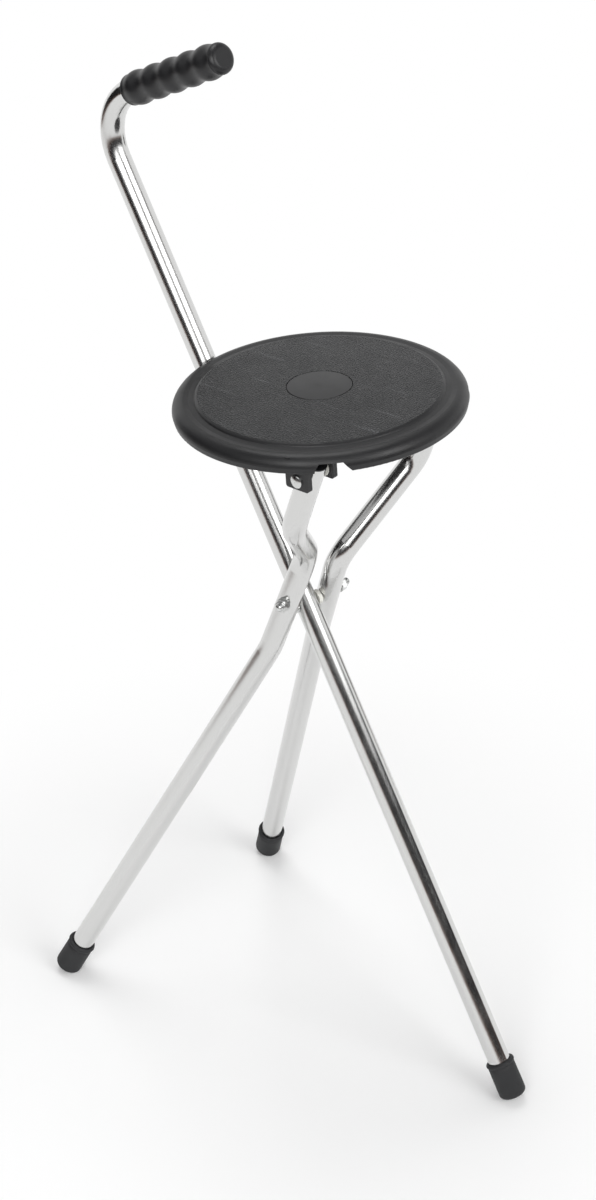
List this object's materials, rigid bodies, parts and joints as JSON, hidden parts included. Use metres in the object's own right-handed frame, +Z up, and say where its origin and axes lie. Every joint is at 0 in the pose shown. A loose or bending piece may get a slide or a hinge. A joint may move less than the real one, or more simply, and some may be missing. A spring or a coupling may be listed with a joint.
{
  "type": "walking stick seat",
  "caption": "Walking stick with a bent, finger-grooved handle whose crossed legs and round seat fold out into a tripod stool.",
  "frame": {"origin": "middle of the open stool's footprint box, on the floor", "axes": "+Z up; +X from the middle towards the main tube's foot; +Y towards leg C, so leg B stands on -Y"},
  "size_m": [0.4553, 0.2642, 0.8466],
  "materials": {
    "polished_tube": "polished",
    "grip": "satin",
    "foot_rubber": "matte",
    "seat_plastic": "leather grain",
    "emblem_plastic": "satin",
    "inner_steel": "plain",
    "zinc_steel": "bright zinc",
    "pin_steel": "bright",
    "nylon": "natural",
    "plug_plastic": "satin"
  },
  "bodies": {
    "stick": {"main_tube": "polished_tube", "handle_grip": "grip", "main_ferrule": "foot_rubber", "main_tip_disc": "inner_steel", "pivot_b_bolt": "zinc_steel", "pivot_b_head_washer": "zinc_steel", "pivot_b_spacer": "nylon", "pivot_b_nut_washer": "zinc_steel", "pivot_b_lock_nut": "zinc_steel", "pivot_c_bolt": "zinc_steel", "pivot_c_head_washer": "zinc_steel", "pivot_c_spacer": "nylon", "pivot_c_nut_washer": "zinc_steel", "pivot_c_lock_nut": "zinc_steel"},
    "leg_b": {"leg_b_tube": "polished_tube", "leg_b_ferrule": "foot_rubber", "leg_b_tip_disc": "inner_steel", "leg_b_end_plug": "plug_plastic"},
    "leg_c": {"leg_c_catch_peg": "pin_steel", "leg_c_tube": "polished_tube", "leg_c_ferrule": "foot_rubber", "leg_c_tip_disc": "inner_steel", "leg_c_end_plug": "plug_plastic"},
    "seat": {"seat_shell": "seat_plastic", "seat_emblem": "emblem_plastic", "seat_hinge_pin": "pin_steel", "seat_hinge_washer_out": "nylon", "seat_hinge_washer_in": "nylon", "seat_hinge_clip": "pin_steel"}
  },
  "joints": [
    {"name": "leg_b_fold", "type": "hinge", "parent": "stick", "child": "leg_b", "pos_m": [-0.01608, -0.00392, 0.41288], "axis": [0.2739, -0.9478, 0.1631], "range_deg": [0, 50]},
    {"name": "leg_c_fold", "type": "hinge", "parent": "stick", "child": "leg_c", "pos_m": [-0.01179, 0.03924, 0.40229], "axis": [-0.2076, -0.9704, -0.1236], "range_deg": [0, 47.69]},
    {"name": "seat_fold", "type": "hinge", "parent": "leg_b", "child": "seat", "pos_m": [0.05185, -0.0544, 0.5799], "axis": [0, 1, 0], "range_deg": [0, 110.74]}
  ],
  "couplings": [
    {"joint": "leg_c_fold", "follows": "leg_b_fold", "ratio": 0.9537},
    {"joint": "seat_fold", "follows": "leg_b_fold", "ratio": 2.2147}
  ]
}
